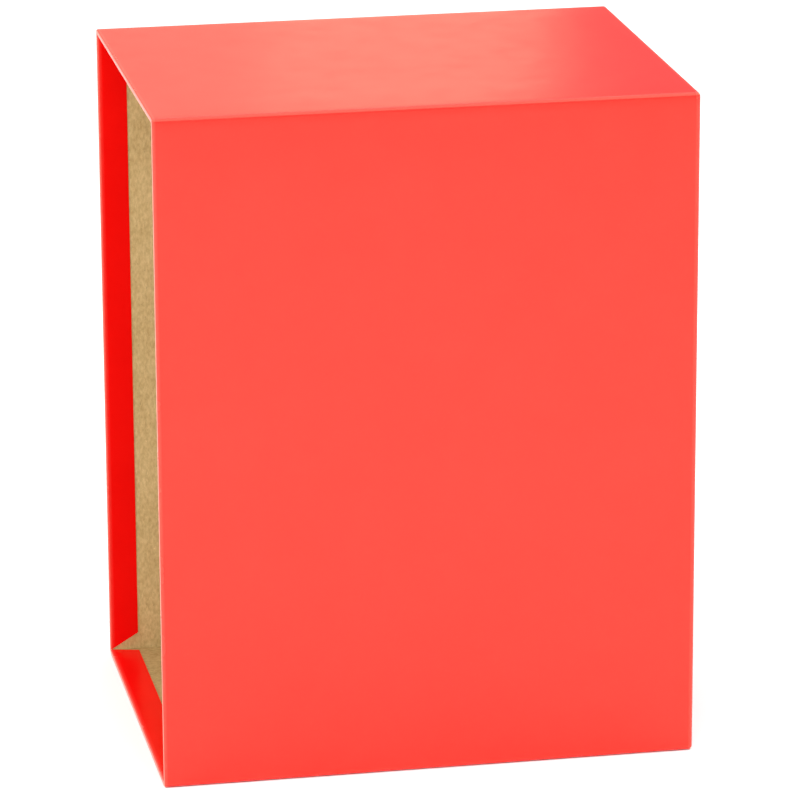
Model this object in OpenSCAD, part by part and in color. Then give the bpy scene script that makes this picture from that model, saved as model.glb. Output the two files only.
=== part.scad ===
// Open-sided slipcase for a set of lever-arch files.
// Five kraft-faced boards are butted into a tray, their joints are held by
// paper stays, and three sheets of cover paper are pasted over the outside.
// The mouth faces -X, the closed spine side +X, the large front side -Y.
// The origin is the centre of the underside.

/* [Case] */
// Outside length from the mouth to the closed spine side
case_w = 288; // [240:1:330]
// Outside depth across the set of files
case_d = 218; // [70:1:300]
// Outside height
case_h = 364; // [250:1:420]

/* [Board] */
// Thickness of every board
board_t = 2.5; // [2:0.1:4]

/* [Cover paper] */
// Thickness of the cover paper
paper_t = 0.25; // [0.15:0.05:0.4]
// Outside radius of the soft folds between the walls
fold_r = 2.2; // [1:0.1:3]
// Outside radius of the paper where it turns over the board ends
rim_r = 1; // [0.5:0.1:1.2]
// How far the paper is turned in behind the mouth
turn_in = 16; // [10:0.5:25]
// Slant of the turn-in ends on the front and back walls, in degrees
wall_slant = 31; // [10:1:40]
// Slant of the turn-in ends on the top and base, in degrees
shelf_slant = 14; // [5:1:30]
// Width of the laps that run on under the next sheet
lap_w = 15; // [15:0.5:25]
// How far a top sheet stays back from a fold
sheet_back = 3; // [2.5:0.1:5]

/* [Stays] */
// Thickness of the paper stays
stay_t = 0.15; // [0.1:0.05:0.2]
// Width of each leg of a stay
stay_leg = 14; // [6:0.5:14]
// Length by which a stay stops short of an edge
stay_back = 3; // [2.5:0.1:8]

/* [Hidden] */
$fn = 48;

cover_red = [0.96, 0.16, 0.12];
kraft_brown = [0.76, 0.62, 0.43];
stay_buff = [0.86, 0.77, 0.6];

// Over-run of a cutting solid past the faces that it cuts
over = 5;
// Clearance between two sheets or stays that meet edge to edge
gap = 0.5;

mouth_x = -case_w / 2;
spine_x = case_w / 2;

// Outside faces of the wrap sheet: the base and spine sheets lie on top of it
wrap_x1 = spine_x - paper_t;
wrap_y = case_d / 2;
wrap_z0 = paper_t;
wrap_z1 = case_h;

// Outside faces of the boards, under one sheet
core_x0 = mouth_x + paper_t;
core_x1 = wrap_x1 - paper_t;
core_y = wrap_y - paper_t;
core_z0 = wrap_z0 + paper_t;
core_z1 = wrap_z1 - paper_t;

// Inside faces of the walls
inner_y = core_y - board_t;
inner_z0 = wrap_z0 + board_t;
inner_z1 = core_z1 - board_t;
inner_x1 = wrap_x1 - board_t;

// Edges of the laps, where the boards stand level with them
lap_y = wrap_y - lap_w;
lap_z0 = lap_w;
lap_z1 = wrap_z1 - lap_w;

// Outline of the top sheets
sheet_y = wrap_y - sheet_back;
sheet_x1 = wrap_x1 - sheet_back;
sheet_z0 = wrap_z0 + sheet_back;
sheet_z1 = wrap_z1 - sheet_back;

// Radii one layer further in
core_fold_r = fold_r - paper_t;
core_rim_r = rim_r - paper_t;

// Where the turned-in paper ends
turn_x = mouth_x + turn_in;

// Material outside a rounded corner at the origin, which sx and sy point into
module corner_cut(r, sx, sy) {
    difference() {
        translate([sx > 0 ? -over : -r, sy > 0 ? -over : -r])
            square([r + over, r + over]);
        translate([sx * r, sy * r]) circle(r);
    }
}

// Rectangle whose corners have their own radii, counted from the lower left
module plate(x0, x1, y0, y1, r) {
    difference() {
        translate([x0, y0]) square([x1 - x0, y1 - y0]);
        translate([x0, y0]) corner_cut(r[0], 1, 1);
        translate([x1, y0]) corner_cut(r[1], -1, 1);
        translate([x1, y1]) corner_cut(r[2], -1, -1);
        translate([x0, y1]) corner_cut(r[3], 1, -1);
    }
}

// Closed block with soft folds between its long walls and at the spine side,
// and a tighter radius at the mouth side
module block(x0, x1, y1, z0, z1, r, rim) {
    span = case_h + case_w;
    intersection() {
        translate([0, 0, -over])
            linear_extrude(height = span)
                plate(x0, x1, -y1, y1, [rim, r, r, rim]);
        translate([0, span / 2, 0])
            rotate([90, 0, 0])
                linear_extrude(height = span)
                    plate(x0, x1, z0, z1, [rim, r, r, rim]);
        translate([-span / 2, 0, 0])
            rotate([90, 0, 90])
                linear_extrude(height = span)
                    plate(-y1, y1, z0, z1, [r, r, r, r]);
    }
}

// Outline of the hollow in one plane: straight sides that flare at the mouth
module flared(x0, x1, y0, y1, r) {
    translate([x0 - over, y0]) square([x1 - x0 + over, y1 - y0]);
    difference() {
        translate([x0 - over, y0 - r]) square([over + r, y1 - y0 + 2 * r]);
        translate([x0 + r, y0 - r]) circle(r);
        translate([x0 + r, y1 + r]) circle(r);
    }
}

// Hollow of the case, open at the mouth
module hollow(x0, x1, y1, z0, z1, r) {
    span = case_h + case_w;
    intersection() {
        translate([0, 0, -span / 2])
            linear_extrude(height = 2 * span) flared(x0, x1, -y1, y1, r);
        translate([0, span / 2, 0])
            rotate([90, 0, 0])
                linear_extrude(height = span) flared(x0, x1, z0, z1, r);
    }
}

module box(x0, x1, y0, y1, z0, z1) {
    translate([x0, y0, z0]) cube([x1 - x0, y1 - y0, z1 - z0]);
}

// The boards' outline as a solid block, raised to z0 at its underside
module core(z0) {
    block(core_x0, core_x1, core_y, z0, core_z1, core_fold_r, core_rim_r);
}

// The same block, smaller by the thickness of a stay
module core_under_stays(z0) {
    block(core_x0 - over, core_x1 - stay_t, core_y - stay_t, z0 + stay_t,
          core_z1 - stay_t, core_fold_r - stay_t, core_rim_r);
}

// The hollow between bare boards
module board_hollow() {
    hollow(core_x0, inner_x1, inner_y, inner_z0, inner_z1, core_rim_r);
}

// The hollow between the turned-in sheets
module paper_hollow() {
    hollow(mouth_x, inner_x1, inner_y - paper_t, inner_z0 + paper_t,
           inner_z1 - paper_t, rim_r);
}

// Zones that the stays cover. The four long ones run along the folds of the
// walls; side is -1 for the front and 1 for the back
module long_zone(side, z0, z1) {
    box(core_x0 + stay_back, core_x1 - stay_leg - gap,
        side < 0 ? -core_y - over : core_y - stay_leg,
        side < 0 ? stay_leg - core_y : core_y + over, z0, z1);
}

module upright_zone(side) {
    box(core_x1 - stay_leg, core_x1 + over,
        side < 0 ? -core_y - over : core_y - stay_leg,
        side < 0 ? stay_leg - core_y : core_y + over,
        core_z0 + stay_back, core_z1 - stay_back);
}

module cross_zone(z0, z1) {
    box(core_x1 - stay_leg, core_x1 + over,
        stay_leg + 2 * gap - core_y, core_y - stay_leg - 2 * gap, z0, z1);
}

module top_zone(side) {
    long_zone(side, core_z1 - stay_leg, core_z1 + over);
}

module bottom_zone(side) {
    long_zone(side, core_z0 - over, core_z0 + stay_leg);
}

// Everything that the stays take out of the boards
module stay_recesses() {
    difference() {
        union() {
            for (side = [-1, 1]) {
                top_zone(side);
                bottom_zone(side);
                upright_zone(side);
            }
            cross_zone(core_z1 - stay_leg, core_z1 + over);
        }
        core_under_stays(core_z0);
    }
    difference() {
        cross_zone(wrap_z0 - over, wrap_z0 + stay_leg);
        core_under_stays(wrap_z0);
    }
}

// One stay: the layer between the boards' outline and the recess under it
module stay(z0) {
    color(stay_buff) difference() {
        intersection() {
            core(z0);
            children();
        }
        core_under_stays(z0);
    }
}

// Front or back board, which runs the full height of the case
module wall_board(side) {
    color(kraft_brown) difference() {
        intersection() {
            core(core_z0);
            box(core_x0 - over, core_x1 + over,
                side < 0 ? -core_y - over : inner_y,
                side < 0 ? -inner_y : core_y + over, -over, case_h + over);
        }
        board_hollow();
        stay_recesses();
    }
}

module front_board() {
    wall_board(-1);
}

module back_board() {
    wall_board(1);
}

module top_board() {
    color(kraft_brown) difference() {
        intersection() {
            core(core_z0);
            box(core_x0 - over, core_x1 + over, -inner_y, inner_y,
                inner_z1, core_z1 + over);
        }
        board_hollow();
        stay_recesses();
    }
}

// The bottom board is thinned along its sides, where the laps of the wrap
// sheet are pressed into it
module bottom_board() {
    color(kraft_brown) difference() {
        union() {
            intersection() {
                core(wrap_z0);
                box(core_x0 - over, core_x1 + over, -lap_y, lap_y, -over, inner_z0);
            }
            intersection() {
                core(core_z0);
                box(core_x0 - over, core_x1 + over, -inner_y, inner_y, -over, inner_z0);
            }
        }
        board_hollow();
        stay_recesses();
    }
}

// The spine board fills the closed side, with the same thinned border
module spine_board() {
    color(kraft_brown) difference() {
        union() {
            box(inner_x1, core_x1, -inner_y, inner_y, inner_z0, inner_z1);
            box(inner_x1, wrap_x1, -lap_y, lap_y, lap_z0, lap_z1);
        }
        stay_recesses();
    }
}

module stay_top_front() {
    stay(core_z0) top_zone(-1);
}

module stay_top_back() {
    stay(core_z0) top_zone(1);
}

module stay_bottom_front() {
    stay(core_z0) bottom_zone(-1);
}

module stay_bottom_back() {
    stay(core_z0) bottom_zone(1);
}

module stay_spine_front() {
    stay(core_z0) upright_zone(-1);
}

module stay_spine_back() {
    stay(core_z0) upright_zone(1);
}

module stay_spine_top() {
    stay(core_z0) cross_zone(core_z1 - stay_leg, core_z1 + over);
}

module stay_spine_bottom() {
    stay(wrap_z0) cross_zone(wrap_z0 - over, wrap_z0 + stay_leg);
}

// Paper turned in behind the mouth, all round the hollow
module turn_in_ring() {
    difference() {
        intersection() {
            board_hollow();
            box(mouth_x, turn_x, -wrap_y, wrap_y, 0, case_h);
        }
        paper_hollow();
    }
}

// Wedge that cuts the end of a turn-in from the inner corner of the mouth;
// its thin direction is along Z and it widens with x
module end_wedge(slant) {
    start = rim_r;
    run = turn_in - start + 1;
    linear_extrude(height = 4 * paper_t, center = true)
        polygon([[mouth_x + start, -paper_t], [mouth_x + start + run, -paper_t],
                 [mouth_x + start + run, paper_t + run * tan(slant)],
                 [mouth_x + start, paper_t]]);
}

// Slanted ends of the turn-ins on the front and back walls
module wall_notches() {
    for (side = [-1, 1]) {
        translate([0, side * inner_y, inner_z0])
            rotate([90, 0, 0]) end_wedge(wall_slant);
        translate([0, side * inner_y, inner_z1])
            mirror([0, 0, 1]) rotate([90, 0, 0]) end_wedge(wall_slant);
    }
}

// Slanted ends of a turn-in on the top or the base
module shelf_notches(z) {
    translate([0, -inner_y, z]) end_wedge(shelf_slant);
    translate([0, inner_y, z]) mirror([0, 1, 0]) end_wedge(shelf_slant);
}

// One sheet over the front, the top and the back, with laps on the underside
// and the spine side and turn-ins at the mouth
module wrap_sheet() {
    color(cover_red) difference() {
        union() {
            difference() {
                block(mouth_x, wrap_x1, wrap_y, wrap_z0, wrap_z1, fold_r, rim_r);
                core(core_z0);
                paper_hollow();
            }
            intersection() {
                turn_in_ring();
                box(mouth_x, turn_x, -wrap_y, wrap_y, inner_z0 + paper_t, case_h);
            }
        }
        wall_notches();
        shelf_notches(inner_z1);
        box(mouth_x - over, spine_x + over, -lap_y, lap_y, -over, inner_z0);
        box(core_x1 - paper_t, spine_x + over, -lap_y, lap_y, -over, lap_z1);
        box(mouth_x - over, mouth_x + rim_r, -sheet_y, sheet_y, -over,
            inner_z0 + paper_t);
    }
}

// Sheet over the underside. It turns in at the mouth and its other end laps
// up the spine side
module base_sheet() {
    color(cover_red) difference() {
        union() {
            difference() {
                intersection() {
                    block(mouth_x, wrap_x1, wrap_y, 0, wrap_z1, fold_r, rim_r);
                    union() {
                        box(mouth_x - over, sheet_x1, -sheet_y, sheet_y, -over,
                            inner_z0 + paper_t);
                        box(mouth_x, spine_x, gap - lap_y, lap_y - gap, -over,
                            lap_z0 - gap);
                    }
                }
                block(core_x0, core_x1, core_y, wrap_z0, core_z1, core_fold_r,
                      core_rim_r);
                paper_hollow();
            }
            intersection() {
                turn_in_ring();
                box(mouth_x, turn_x, -inner_y, inner_y, 0, inner_z0 + paper_t);
            }
        }
        shelf_notches(inner_z0);
    }
}

// Sheet over the closed side, laid over the laps of the other two
module spine_sheet() {
    color(cover_red)
        box(wrap_x1, spine_x, -sheet_y, sheet_y, sheet_z0, sheet_z1);
}

front_board();
back_board();
top_board();
bottom_board();
spine_board();
stay_top_front();
stay_top_back();
stay_bottom_front();
stay_bottom_back();
stay_spine_front();
stay_spine_back();
stay_spine_top();
stay_spine_bottom();
wrap_sheet();
base_sheet();
spine_sheet();
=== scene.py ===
"""Looks of the red slipcase: cover papers, kraft boards, floor, light and camera."""

import math

import bmesh
import bpy
from mathutils import Matrix, Vector, noise


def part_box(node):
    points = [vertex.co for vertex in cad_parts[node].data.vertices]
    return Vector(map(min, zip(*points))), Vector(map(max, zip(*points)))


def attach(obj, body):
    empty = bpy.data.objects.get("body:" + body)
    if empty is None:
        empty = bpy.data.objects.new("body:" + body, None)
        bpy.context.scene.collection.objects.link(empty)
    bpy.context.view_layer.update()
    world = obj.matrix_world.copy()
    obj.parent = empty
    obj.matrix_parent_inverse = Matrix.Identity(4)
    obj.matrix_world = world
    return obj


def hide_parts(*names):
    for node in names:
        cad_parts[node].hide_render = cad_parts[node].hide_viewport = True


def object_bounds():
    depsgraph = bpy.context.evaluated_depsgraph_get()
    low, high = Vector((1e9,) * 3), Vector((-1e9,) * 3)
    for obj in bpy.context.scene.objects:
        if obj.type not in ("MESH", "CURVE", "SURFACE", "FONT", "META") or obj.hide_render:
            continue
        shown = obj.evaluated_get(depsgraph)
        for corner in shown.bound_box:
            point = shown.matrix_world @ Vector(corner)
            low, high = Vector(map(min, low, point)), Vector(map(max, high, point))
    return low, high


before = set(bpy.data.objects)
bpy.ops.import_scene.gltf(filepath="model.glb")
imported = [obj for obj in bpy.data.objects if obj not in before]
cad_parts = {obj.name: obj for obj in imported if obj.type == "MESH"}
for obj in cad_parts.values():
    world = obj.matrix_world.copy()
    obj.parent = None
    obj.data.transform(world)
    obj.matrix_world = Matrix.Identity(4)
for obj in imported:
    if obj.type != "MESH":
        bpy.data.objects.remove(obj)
CAD_LOW, CAD_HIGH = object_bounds()

MM = 0.001

# The paper's own sizes, which part.scad also has
FOLD_R = 2.2 * MM
RIM_R = 1.0 * MM
TURN_IN = 16 * MM
LAP = 15 * MM
SHEET_BACK = 3 * MM
SHEET_GAP = 0.5 * MM
WALL_SLANT = math.radians(31)
SHELF_SLANT = math.radians(14)

WRAP_LOW, WRAP_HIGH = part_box("wrap_sheet")
BOARD_LOW, BOARD_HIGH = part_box("front_board")
PAPER = BOARD_LOW.y - WRAP_LOW.y
WALL = BOARD_HIGH.y - BOARD_LOW.y + 2 * PAPER
CENTRE = (CAD_LOW + CAD_HIGH) / 2


# ---------------------------------------------------------------- camera

CAMERA_AZIMUTH = math.radians(-10.74)
CAMERA_ELEVATION = math.radians(16.76)
CAMERA_ROLL = math.radians(-0.27)
CAMERA_DISTANCE = 2.697
CAMERA_AIM = CENTRE + Vector((0.004, -0.003, -0.0073))
LENS_MM = 222.8
SENSOR_MM = 36


def make_camera():
    data = bpy.data.cameras.new("camera")
    data.lens = LENS_MM
    data.sensor_width = SENSOR_MM
    data.clip_start = 0.05
    data.clip_end = 50
    camera = bpy.data.objects.new("camera", data)
    bpy.context.scene.collection.objects.link(camera)
    back = Vector((
        math.sin(CAMERA_AZIMUTH) * math.cos(CAMERA_ELEVATION),
        -math.cos(CAMERA_AZIMUTH) * math.cos(CAMERA_ELEVATION),
        math.sin(CAMERA_ELEVATION),
    ))
    facing = (-back).to_track_quat("-Z", "Y").to_matrix().to_4x4()
    place = Matrix.Translation(CAMERA_AIM + back * CAMERA_DISTANCE)
    camera.matrix_world = place @ facing @ Matrix.Rotation(CAMERA_ROLL, 4, "Z")
    bpy.context.scene.camera = camera


# ---------------------------------------------------------------- materials


class Nodes:
    """A material's node tree, with short calls for the nodes used here."""

    def __init__(self, name):
        self.material = bpy.data.materials.new(name)
        self.material.use_nodes = True
        self.tree = self.material.node_tree
        self.shader = self.tree.nodes["Principled BSDF"]

    def add(self, kind, **settings):
        node = self.tree.nodes.new(kind)
        for key, value in settings.items():
            setattr(node, key, value)
        return node

    def link(self, source, target):
        self.tree.links.new(source, target)

    def place(self, stretch=(1, 1, 1)):
        """Coordinates in metres, in the case's own frame, stretched along its axes."""
        coords = self.add("ShaderNodeTexCoord")
        mapping = self.add("ShaderNodeMapping")
        mapping.inputs["Scale"].default_value = stretch
        self.link(coords.outputs["Object"], mapping.inputs["Vector"])
        return mapping.outputs["Vector"]

    def noise(self, scale, detail=2.0, roughness=0.5, stretch=(1, 1, 1)):
        node = self.add("ShaderNodeTexNoise")
        node.inputs["Scale"].default_value = scale
        node.inputs["Detail"].default_value = detail
        node.inputs["Roughness"].default_value = roughness
        self.link(self.place(stretch), node.inputs["Vector"])
        return node.outputs["Fac"]

    def remap(self, value, low, high, to_low, to_high):
        node = self.add("ShaderNodeMapRange")
        node.inputs["From Min"].default_value = low
        node.inputs["From Max"].default_value = high
        node.inputs["To Min"].default_value = to_low
        node.inputs["To Max"].default_value = to_high
        self.link(value, node.inputs["Value"])
        return node.outputs["Result"]

    def math(self, operation, first, second):
        node = self.add("ShaderNodeMath", operation=operation)
        for socket, value in zip(node.inputs, (first, second)):
            if isinstance(value, (int, float)):
                socket.default_value = value
            else:
                self.link(value, socket)
        return node.outputs["Value"]

    def mix(self, factor, first, second):
        node = self.add("ShaderNodeMix", data_type="RGBA")
        self.link(factor, node.inputs["Factor"])
        for socket, value in zip((node.inputs[6], node.inputs[7]), (first, second)):
            if isinstance(value, tuple):
                socket.default_value = (*value, 1)
            else:
                self.link(value, socket)
        return node.outputs[2]

    def attribute(self, name):
        node = self.add("ShaderNodeAttribute", attribute_name=name)
        return node.outputs["Fac"]

    def bump(self, height, distance, under=None):
        node = self.add("ShaderNodeBump")
        node.inputs["Strength"].default_value = 1
        node.inputs["Distance"].default_value = distance
        self.link(height, node.inputs["Height"])
        if under is not None:
            self.link(under, node.inputs["Normal"])
        return node.outputs["Normal"]


def cover_red(name, gloss):
    """Coated cover paper: smooth, with a soft sheen and a faint mottle."""
    n = Nodes(name)
    mottle = n.remap(n.noise(22, 3), 0.3, 0.7, 0, 1)
    grain = n.noise(1400, 2)
    colour = n.mix(mottle, (0.87, 0.0040, 0.0030), (0.82, 0.0030, 0.0022))
    speck = n.remap(n.noise(700, 3, 0.65), 0.66, 0.78, 0, 0.25)
    colour = n.mix(speck, colour, (0.86, 0.03, 0.02))
    # Pale peach lift from the point layer: wear on the folds and spine edges, and on the flat of the
    # mouth's rim mostly a painted highlight
    rub_and_rim_highlight = n.math("MULTIPLY", n.attribute("rub_and_rim_highlight"), n.remap(n.noise(420, 4), 0.3, 0.62, 0.8, 1))
    colour = n.mix(rub_and_rim_highlight, colour, (0.93, 0.42, 0.31))
    n.link(colour, n.shader.inputs["Base Color"])
    sheen_break = n.remap(n.noise(60, 4), 0.3, 0.7, 0.2, 0.27)
    rough = n.math("ADD", sheen_break, n.math("MULTIPLY", rub_and_rim_highlight, 0.18))
    n.link(rough, n.shader.inputs["Roughness"])
    n.shader.inputs["IOR"].default_value = 1.58
    n.shader.inputs["Specular IOR Level"].default_value = gloss
    n.shader.inputs["Specular Tint"].default_value = (1, 1, 0.74, 1)
    soft = n.bump(n.noise(90, 3), 0.00006)
    n.link(n.bump(grain, 0.000012, soft), n.shader.inputs["Normal"])
    return n.material


def paper_core():
    """The pale stock of the cover paper, which shows at its cut edges."""
    n = Nodes("paper_core")
    fibre = n.remap(n.noise(1800, 3), 0.3, 0.7, 0, 1)
    n.link(n.mix(fibre, (0.86, 0.5, 0.4), (0.9, 0.66, 0.56)), n.shader.inputs["Base Color"])
    n.shader.inputs["Roughness"].default_value = 0.85
    n.link(n.bump(n.noise(2400, 3), 0.00002), n.shader.inputs["Normal"])
    return n.material


def kraft(name, light, dark, stretch):
    """Uncoated kraft face: long fibres, clouds of tone, dark and pale flecks."""
    n = Nodes(name)
    cloud = n.remap(n.noise(60, 4, 0.6), 0.28, 0.72, 0, 1)
    fibre = n.remap(n.noise(680, 4, 0.7, stretch), 0.34, 0.66, 0, 1)
    tone = n.math("ADD", n.math("MULTIPLY", cloud, 0.3), n.math("MULTIPLY", fibre, 0.7))
    colour = n.mix(tone, dark, light)
    dark_fleck = n.remap(n.noise(820, 3, 0.6, stretch), 0.64, 0.74, 0, 0.55)
    colour = n.mix(dark_fleck, colour, tuple(0.55 * c for c in dark))
    pale_fleck = n.remap(n.noise(640, 3, 0.6, stretch[::-1]), 0.66, 0.76, 0, 0.5)
    colour = n.mix(pale_fleck, colour, tuple(min(1, 1.35 * c) for c in light))
    n.link(colour, n.shader.inputs["Base Color"])
    n.link(n.remap(fibre, 0, 1, 0.82, 0.95), n.shader.inputs["Roughness"])
    n.shader.inputs["Specular IOR Level"].default_value = 0.25
    coarse = n.bump(fibre, 0.00007)
    n.link(n.bump(n.noise(2200, 3, 0.6, stretch), 0.00004, coarse), n.shader.inputs["Normal"])
    return n.material


# ---------------------------------------------------------------- sheets

# Places of the three papers in a sheet's list of materials
OUTSIDE, CORE, INSIDE = range(3)
# Points closer than this are one point
SAME_POINT = 0.002 * MM
# Allowance in comparing places
SLACK = 0.01 * MM
# Sheet edges sharper than this stay crisp
CRISP_ANGLE = math.radians(35)
# Spacing of the grid along a wall, and along a lap
WALL_STEP = 5.5 * MM
LAP_STEP = 3 * MM
# Height of the paper's waves on a wall, on a turn-in and on the spine
WALL_SWELL = 0.35 * MM
TURN_SWELL = 0.12 * MM
SPINE_SWELL = 0.25 * MM

# Across a sheet, from its lap on the spine side to the end of its turn-in.
# Each station is (x, depth under the outside face, part of the sheet).


def spread(low, high, count):
    return [low + (high - low) * i / (count - 1) for i in range(count)]


def stations(under):
    """Stations of the sheet's outside face, or of the face under it by that much."""
    mouth, spine = WRAP_LOW.x, WRAP_HIGH.x
    deep = WALL - RIM_R
    rows = [(spine - under, d, "lap") for d in spread(LAP, FOLD_R, 5)[:-1]]
    for a in spread(0, math.pi / 2, 9):
        r = FOLD_R - under
        rows.append((spine - FOLD_R + r * math.cos(a), FOLD_R - r * math.sin(a), "arris"))
    back = spine - SHEET_BACK
    for x in [*spread(back, back - 6 * MM, 4), *spread(back - 6 * MM, mouth + 6 * MM, 54)[1:],
              *spread(mouth + 6 * MM, mouth + RIM_R, 5)[1:-1]]:
        rows.append((x, under, "wall"))
    for a in spread(0, math.pi / 2, 7):
        r = RIM_R - under
        rows.append((mouth + RIM_R - r * math.sin(a), RIM_R - r * math.cos(a), "rim"))
    rows.append((mouth + under, (RIM_R + deep) / 2, "rim"))
    for a in spread(0, math.pi / 2, 7):
        r = RIM_R - under
        rows.append((mouth + RIM_R - r * math.cos(a), deep + r * math.sin(a), "rim"))
    for x in spread(mouth + RIM_R, mouth + TURN_IN, 9)[1:]:
        rows.append((x, WALL - under, "turn"))
    return rows


def swell(point, span):
    """How far the paper stands off its board there: broad, shallow waves."""
    broad = noise.noise(point * 9 + Vector((3.1, 7.7, 1.9)))
    fine = noise.noise(point * 31 + Vector((8.3, 2.2, 5.5)))
    return span * (0.5 + 0.38 * broad + 0.12 * fine)


def rub_and_highlight_at(station):
    """How far the paper is lightened there, mostly on the flat of the mouth's rim, where the lift is
    a painted highlight over a little wear; elsewhere it is wear.
    """
    x, _, part = station
    if part == "rim":
        # The strong lift on the flat of the rim is a painted highlight for the light its edge
        # catches, with a little wear; the small values are wear
        return 0.42 if x < WRAP_LOW.x + 0.2 * MM else 0.08
    return 0.05 if part == "arris" else 0.0


def smooth(value, low, high):
    t = min(1, max(0, (value - low) / (high - low)))
    return t * t * (3 - 2 * t)


def sheet_object(name, outside, inside, faces, kinds, rim, rub_and_highlight_values, materials):
    """A sheet from its two faces, point for point, and the outline between them.

    kinds has the material of each outside face, rim the outline's directed edges and
    the last list each outside point's pale lift: wear, with a painted highlight on the mouth's rim.
    """
    count = len(outside)
    under_faces = [[v + count for v in reversed(face)] for face in faces]
    cut_faces = [[b, a, a + count, b + count] for a, b in rim]
    mesh = bpy.data.meshes.new(name)
    mesh.from_pydata([*outside, *inside], [], faces + under_faces + cut_faces)
    for material in materials:
        mesh.materials.append(material)
    for polygon in mesh.polygons:
        polygon.use_smooth = polygon.index < 2 * len(faces)
        if polygon.index < len(faces):
            polygon.material_index = kinds[polygon.index]
        else:
            polygon.material_index = CORE
    # Point layer of pale lift: wear, plus the painted highlight on the mouth's rim
    rub_and_highlight_layer = mesh.attributes.new("rub_and_rim_highlight", "FLOAT", "POINT")
    rub_and_highlight_layer.data.foreach_set("value", rub_and_highlight_values + [0.0] * count)
    mesh.validate()
    mesh.update()
    clean_mesh(mesh)
    piece = bpy.data.objects.new(name, mesh)
    bpy.context.scene.collection.objects.link(piece)
    return piece


def outline(faces):
    """The directed edges that only one face uses."""
    uses = {}
    for face in faces:
        for k, v in enumerate(face):
            pair = (v, face[(k + 1) % len(face)])
            key = frozenset(pair)
            uses[key] = None if key in uses else pair
    return [pair for pair in uses.values() if pair]


def build_sheet(name, columns, place, present, lift, materials):
    """One sheet from a grid of columns and stations.

    place(column, station) is a point, present(column, next column, station, next
    station) says whether the paper is there, and lift(column, station, point) is
    the outward move of the outside face.
    """
    outer_rows, inner_rows = stations(0), stations(PAPER)
    ids, grid = {}, {}
    outside, inside, rub_and_highlight_values = [], [], []
    for i, column in enumerate(columns):
        for j, (outer, inner) in enumerate(zip(outer_rows, inner_rows)):
            point, under = place(column, outer), place(column, inner)
            key = tuple(round(c / SAME_POINT) for c in point)
            if key not in ids:
                ids[key] = len(outside)
                away = (point - under).normalized()
                outside.append(point + away * lift(column, outer, point))
                inside.append(under)
                rub_and_highlight_values.append(rub_and_highlight_at(outer))
            grid[i, j] = ids[key]
    faces, kinds = [], []
    for i in range(len(columns) - 1):
        for j in range(len(outer_rows) - 1):
            if not present(columns[i], columns[i + 1], outer_rows[j], outer_rows[j + 1]):
                continue
            ring = [grid[i, j], grid[i + 1, j], grid[i + 1, j + 1], grid[i, j + 1]]
            face = [v for k, v in enumerate(ring) if v != ring[k - 1]]
            if len(set(face)) < 3 or len(set(face)) != len(face):
                continue
            faces.append(face)
            kinds.append(INSIDE if outer_rows[j + 1][2] == "turn" else OUTSIDE)
    return sheet_object(name, outside, inside, faces, kinds, outline(faces), rub_and_highlight_values, materials)


def clean_mesh(mesh):
    """Drops loose points, turns the faces outward and keeps the cut edges crisp."""
    work = bmesh.new()
    work.from_mesh(mesh)
    loose = [v for v in work.verts if not v.link_faces]
    bmesh.ops.delete(work, geom=loose, context="VERTS")
    bmesh.ops.recalc_face_normals(work, faces=work.faces)
    for edge in work.edges:
        paired = len(edge.link_faces) == 2
        edge.smooth = paired and edge.calc_face_angle(0) < CRISP_ANGLE
    work.to_mesh(mesh)
    work.free()


class Panel:
    """One flat wall of the wrap: it starts at a corner and runs along a direction."""

    def __init__(self, start, along, inward, length, slant=0.0, free_start=None, free_end=None):
        self.start = start
        self.along = along
        self.inward = inward
        self.length = length
        self.slant = slant
        self.low = FOLD_R if free_start is None else free_start
        self.high = length - FOLD_R if free_end is None else free_end
        self.lap_only = free_start is not None or free_end is not None
        self.has_start = free_start is None
        self.has_end = free_end is None

    def columns(self, step):
        count = max(3, round((self.high - self.low) / step) + 1)
        return [(self, w) for w in spread(self.low, self.high, count)]

    def place(self, w, station):
        x, depth, part = station
        keep = depth if depth > FOLD_R else 0
        if part == "turn":
            keep += math.tan(self.slant) * (x - WRAP_LOW.x - RIM_R)
        if self.has_start:
            w = max(w, keep)
        if self.has_end:
            w = min(w, self.length - keep)
        return self.start + self.along * w + self.inward * depth + Vector((x, 0, 0))

    def off_edge(self, w):
        return min(w - self.low, self.high - w)


class Corner:
    """The soft fold between two walls of the wrap."""

    def __init__(self, before, after):
        self.at = after.start
        self.before = before.inward
        self.after = after.inward
        self.lap_only = False

    def columns(self, count):
        return [(self, a) for a in spread(0, math.pi / 2, count)[1:-1]]

    def place(self, angle, station):
        x, depth, _ = station
        both = self.before + self.after
        if depth > FOLD_R:
            return self.at + both * depth + Vector((x, 0, 0))
        out = -(self.before * math.cos(angle) + self.after * math.sin(angle))
        return self.at + both * FOLD_R + out * (FOLD_R - depth) + Vector((x, 0, 0))

    def off_edge(self, _):
        return 0.0


def wrap_columns():
    """The wrap's walls and folds, from its front lap round to its back lap."""
    y, z = Vector((0, 1, 0)), Vector((0, 0, 1))
    low_front = Vector((0, WRAP_LOW.y, WRAP_LOW.z))
    top_front = Vector((0, WRAP_LOW.y, WRAP_HIGH.z))
    top_back = Vector((0, WRAP_HIGH.y, WRAP_HIGH.z))
    low_back = Vector((0, WRAP_HIGH.y, WRAP_LOW.z))
    height, depth = WRAP_HIGH.z - WRAP_LOW.z, WRAP_HIGH.y - WRAP_LOW.y
    front_lap = Panel(low_front + y * LAP, -y, z, LAP, free_start=0.0)
    front = Panel(low_front, z, y, height, WALL_SLANT)
    top = Panel(top_front, y, -z, depth, SHELF_SLANT)
    back = Panel(top_back, -z, -y, height, WALL_SLANT)
    back_lap = Panel(low_back, -y, z, LAP, free_end=LAP)
    walls = [front_lap, front, top, back, back_lap]
    found = []
    for before, wall in zip([None, *walls], walls):
        if before is not None:
            found += Corner(before, wall).columns(9)
        found += wall.columns(LAP_STEP if wall.lap_only else WALL_STEP)
    return found


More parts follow.
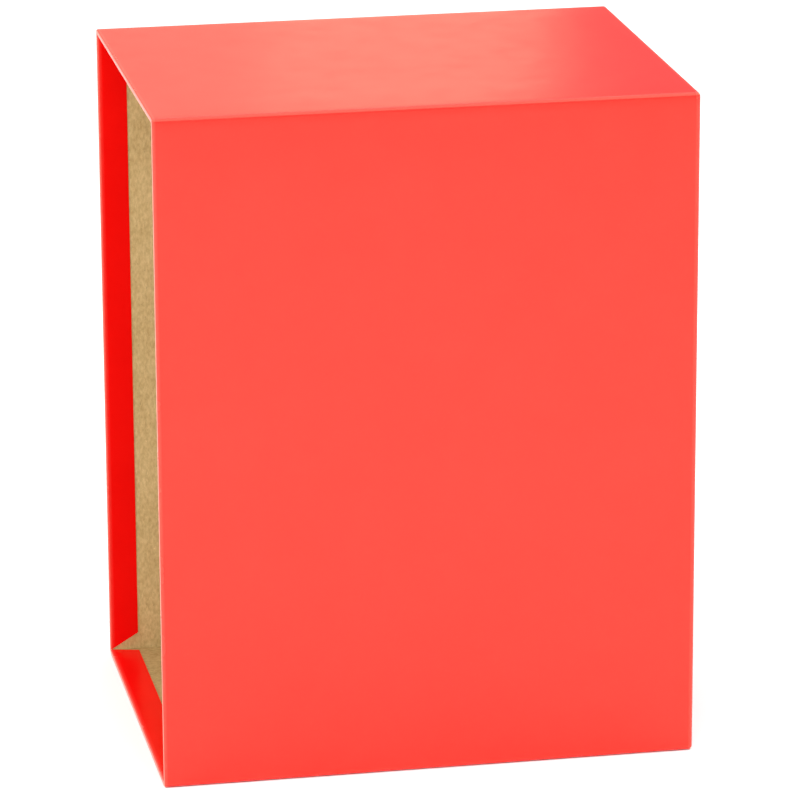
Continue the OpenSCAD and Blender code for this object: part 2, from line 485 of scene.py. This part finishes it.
def make_wrap(materials):
    def place(column, station):
        return column[0].place(column[1], station)

    def present(left, right, here, ahead):
        parts = {here[2], ahead[2]}
        if left[0].lap_only or right[0].lap_only:
            return not parts & {"rim", "turn"}
        if "turn" in parts:
            return isinstance(left[0], Panel) and left[0] is right[0]
        return True

    def lift(column, station, point):
        x, _, part = station
        if part not in ("wall", "turn") or column[0].lap_only:
            return 0.0
        clear = smooth(column[0].off_edge(column[1]), 0, 25 * MM)
        if part == "wall":
            clear *= smooth(min(x - WRAP_LOW.x, WRAP_HIGH.x - x) - FOLD_R, 0, 25 * MM)
            return swell(point, WALL_SWELL) * clear
        clear *= smooth(x - WRAP_LOW.x - RIM_R, 0, 3 * MM)
        return swell(point * 3, TURN_SWELL) * clear

    piece = build_sheet("wrap_paper", wrap_columns(), place, present, lift, materials)
    finish_piece(piece, "wrap_sheet")


def make_base(materials):
    """The sheet under the case. Its depth is measured up from the floor."""
    half = WRAP_HIGH.y - SHEET_BACK
    narrow = WRAP_HIGH.y - LAP - SHEET_GAP
    step_x = WRAP_HIGH.x - SHEET_BACK
    columns = [*spread(-half, -narrow, 5)[:-1], *spread(-narrow, narrow, 38),
               *spread(narrow, half, 5)[1:]]

    def place(y, station):
        x, depth, part = station
        keep = half
        if part == "turn":
            keep -= math.tan(SHELF_SLANT) * (x - WRAP_LOW.x - RIM_R)
        if part == "lap":
            depth = min(depth, LAP - SHEET_GAP)
        return Vector((x, max(-keep, min(keep, y)), depth))

    def present(left, right, here, ahead):
        between_laps = max(abs(left), abs(right)) < narrow + SLACK
        off_lap = max(here[0], ahead[0]) < step_x + SLACK and here[2] != "lap"
        return between_laps or off_lap

    def lift(y, station, point):
        part = station[2]
        if part == "turn":
            clear = smooth(half - abs(y), 4 * MM, 20 * MM)
            clear *= smooth(station[0] - WRAP_LOW.x - RIM_R, 0, 3 * MM)
            return swell(point * 3, TURN_SWELL) * clear
        return 0.0

    piece = build_sheet("base_paper", columns, place, present, lift, materials)
    finish_piece(piece, "base_sheet")


def make_spine(materials):
    """The sheet over the closed side. The laps under it show as a faint step."""
    low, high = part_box("spine_sheet")
    lap_edges = (LAP - SHEET_BACK, LAP - SHEET_BACK + 1.2 * MM)

    def cuts(start, end):
        near = [0, 0.15 * MM, 2 * MM, 6 * MM, lap_edges[0] - 0.6 * MM, lap_edges[0],
                sum(lap_edges) / 2, lap_edges[1], lap_edges[1] + 1.2 * MM]
        inner = (start + near[-1] + WALL_STEP, end - near[-1] - WALL_STEP)
        middle = spread(*inner, round((inner[1] - inner[0]) / WALL_STEP) + 1)
        return [*(start + n for n in near), *middle, *(end - n for n in reversed(near))]

    ys, zs = cuts(low.y, high.y), cuts(low.z, high.z)
    points, rub_and_highlight_values = [], []
    for z in zs:
        for y in ys:
            off = min(y - low.y, high.y - y, z - low.z, high.z - z)
            on_lap = 1 - smooth(off, *lap_edges)
            round_off = 0.12 * MM * (1 - smooth(off, 0, 0.15 * MM))
            wave = swell(Vector((high.x, y, z)), SPINE_SWELL) * smooth(off, 8 * MM, 40 * MM)
            points.append(Vector((high.x + 0.1 * MM * on_lap + wave - round_off, y, z)))
            rub_and_highlight_values.append(0.15 * (1 - smooth(off, 0, 2 * MM)))
    wide = len(ys)
    faces = []
    for row in range(len(zs) - 1):
        for column in range(wide - 1):
            first = row * wide + column
            faces.append([first, first + 1, first + wide + 1, first + wide])
    under = [Vector((low.x, p.y, p.z)) for p in points]
    kinds = [OUTSIDE] * len(faces)
    piece = sheet_object("spine_paper", points, under, faces, kinds, outline(faces), rub_and_highlight_values, materials)
    finish_piece(piece, "spine_sheet")


def finish_piece(piece, node):
    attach(piece, "root")
    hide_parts(node)


# ---------------------------------------------------------------- boards


def paint(node, material):
    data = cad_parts[node].data
    data.materials.clear()
    data.materials.append(material)


def paint_boards():
    upright = kraft("kraft_upright", (0.70, 0.53, 0.26), (0.44, 0.30, 0.115), (1, 1, 0.5))
    # The level boards get the same kraft painted darker than the upright boards: painted shade for
    # the dim floor inside the case
    level_shaded = kraft("kraft_level_shaded", (0.56, 0.40, 0.18), (0.30, 0.19, 0.06), (0.5, 1, 1))
    for node in ("front_board", "back_board", "spine_board"):
        paint(node, upright)
    for node in ("top_board", "bottom_board"):
        paint(node, level_shaded)
    tape = kraft("stay_tape", (0.74, 0.6, 0.4), (0.6, 0.46, 0.28), (1, 1, 1))
    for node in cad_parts:
        if node.startswith("stay_"):
            paint(node, tape)


# ---------------------------------------------------------------- floor and light


def make_floor():
    mesh = bpy.data.meshes.new("floor")
    size, sweep = 6.0, 12.0
    mesh.from_pydata([(-size, -size, 0), (size, -size, 0), (size, sweep, 0), (-size, sweep, 0)],
                     [], [(0, 1, 2, 3)])
    n = Nodes("floor_white")
    n.link(n.mix(n.noise(3, 2), (0.9, 0.9, 0.9), (0.92, 0.92, 0.92)), n.shader.inputs["Base Color"])
    n.shader.inputs["Roughness"].default_value = 0.9
    n.shader.inputs["Specular IOR Level"].default_value = 0.0
    mesh.materials.append(n.material)
    floor = bpy.data.objects.new("floor", mesh)
    bpy.context.scene.collection.objects.link(floor)


def area_light(name, place, target, width, height, power, colour=(1, 1, 1)):
    data = bpy.data.lights.new(name, "AREA")
    data.shape = "RECTANGLE"
    data.size = width
    data.size_y = height
    data.energy = power
    data.color = colour
    lamp = bpy.data.objects.new(name, data)
    lamp.location = place
    lamp.visible_camera = False
    lamp.rotation_euler = (Vector(target) - Vector(place)).to_track_quat("-Z", "Y").to_euler()
    bpy.context.scene.collection.objects.link(lamp)


def light_studio():
    world = bpy.data.worlds.new("world")
    bpy.context.scene.world = world
    world.use_nodes = True
    background = world.node_tree.nodes["Background"]
    background.inputs["Color"].default_value = (1, 1, 1, 1)
    background.inputs["Strength"].default_value = 0.3
    bpy.context.scene.view_settings.view_transform = "Standard"
    area_light("overhead", (0, 0, 3.5), (0, 0, 0), 9.0, 9.0, 400)
    area_light("back_panel", (-0.26, 1.6, 1.1), (-0.26, 0, 1.1), 1.4, 1.5, 2.7, (1, 1, 0.66))
    area_light("back_glow", (0.315, 1.55, 1.1), (0.315, 0, 1.1), 0.27, 1.5, 0.26, (1, 1, 0.66))
    area_light("left_panel", (-1.9, -0.9, 0.6), (0, 0, 0.2), 1.8, 1.4, 19)
    area_light("front_panel", (0, -3.0, 1.9), (0, 0, 0.2), 4.0, 3.0, 33)
    area_light("floor_lift", (0, -0.8, 1.7), (0, -0.25, 0), 3.4, 2.4, 20)


def main():
    make_camera()
    papers = (cover_red("cover_red", 0.5), paper_core(), cover_red("cover_red_inside", 0.04))
    make_wrap(papers)
    make_base(papers)
    make_spine(papers)
    paint_boards()
    make_floor()
    light_studio()


main()
